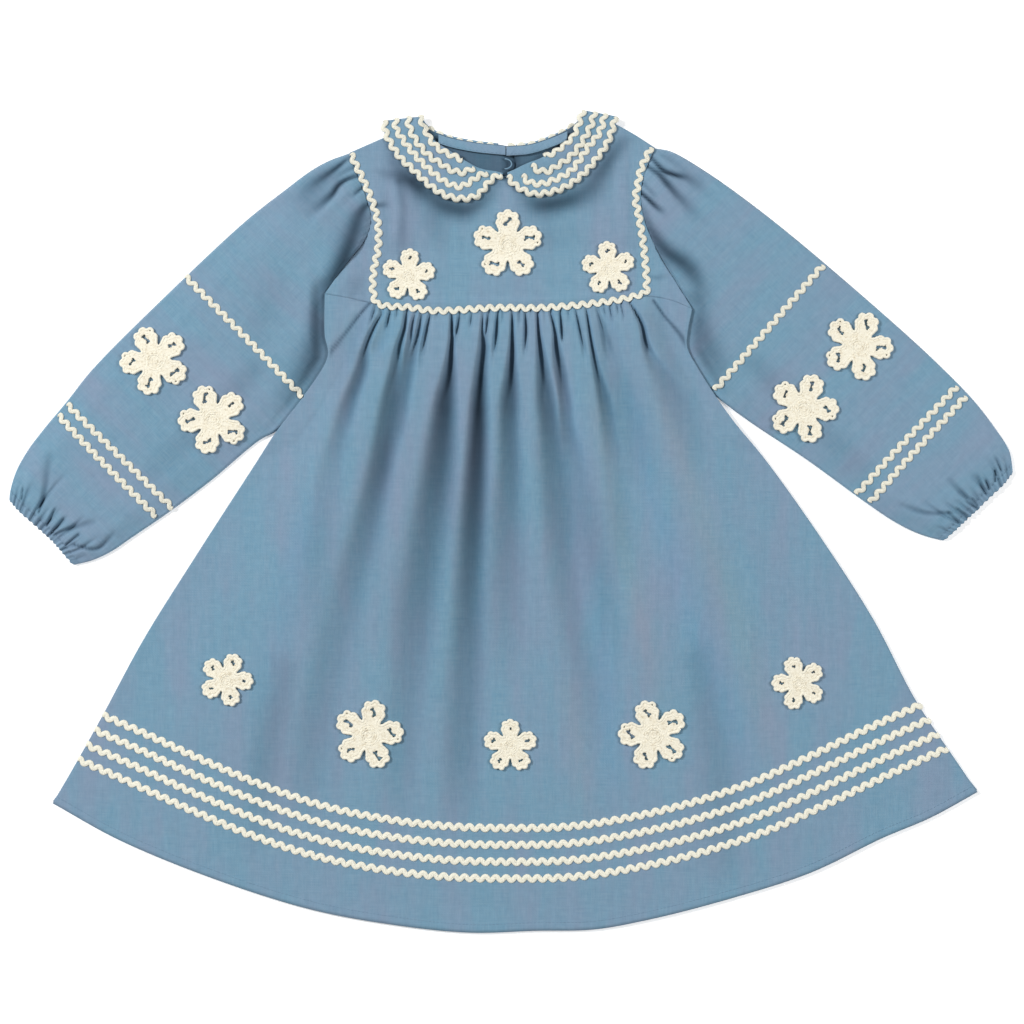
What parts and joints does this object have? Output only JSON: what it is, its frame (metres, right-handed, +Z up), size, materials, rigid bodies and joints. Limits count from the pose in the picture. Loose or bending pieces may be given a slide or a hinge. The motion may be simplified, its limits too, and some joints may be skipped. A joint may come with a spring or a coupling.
{
  "type": "dress",
  "caption": "Child's long-sleeved smock dress with round collar, gathered skirt, wavy braid and crochet flowers, laid flat front up.",
  "frame": {"origin": "on the surface that the dress lies on, under the middle of its bounding box", "axes": "+X toward the viewer's right along the outspread sleeves, +Y toward the neck, +Z up out of the dress's front"},
  "size_m": [0.804, 0.6592, 0.0092],
  "materials": {
    "chambray": "matt plain weave of blue and pale yarns with a soft sheen",
    "cotton_trim": "matt unbleached cotton, woven in the braid and crocheted in the flowers",
    "button": "semi-gloss"
  },
  "bodies": {
    "root": {"yoke_front": "chambray", "yoke_back_left": "chambray", "yoke_back_right": "chambray", "skirt_front": "chambray", "skirt_back": "chambray", "sleeve_left": "chambray", "sleeve_right": "chambray", "collar_left": "chambray", "collar_right": "chambray", "neck_binding_left": "chambray", "neck_binding_right": "chambray", "button_loop": "chambray", "back_button": "button", "braid_yoke": "cotton_trim", "braid_collar_left_1": "cotton_trim", "braid_collar_left_2": "cotton_trim", "braid_collar_left_3": "cotton_trim", "braid_collar_left_4": "cotton_trim", "braid_collar_right_1": "cotton_trim", "braid_collar_right_2": "cotton_trim", "braid_collar_right_3": "cotton_trim", "braid_collar_right_4": "cotton_trim", "braid_sleeve_left_1": "cotton_trim", "braid_sleeve_left_2": "cotton_trim", "braid_sleeve_left_3": "cotton_trim", "braid_sleeve_right_1": "cotton_trim", "braid_sleeve_right_2": "cotton_trim", "braid_sleeve_right_3": "cotton_trim", "braid_hem_1": "cotton_trim", "braid_hem_2": "cotton_trim", "braid_hem_3": "cotton_trim", "braid_hem_4": "cotton_trim", "flower_yoke_centre": "cotton_trim", "flower_yoke_left": "cotton_trim", "flower_yoke_right": "cotton_trim", "flower_sleeve_left_upper": "cotton_trim", "flower_sleeve_left_lower": "cotton_trim", "flower_sleeve_right_upper": "cotton_trim", "flower_sleeve_right_lower": "cotton_trim", "flower_skirt_far_left": "cotton_trim", "flower_skirt_left": "cotton_trim", "flower_skirt_centre": "cotton_trim", "flower_skirt_right": "cotton_trim", "flower_skirt_far_right": "cotton_trim"}
  },
  "joints": []
}
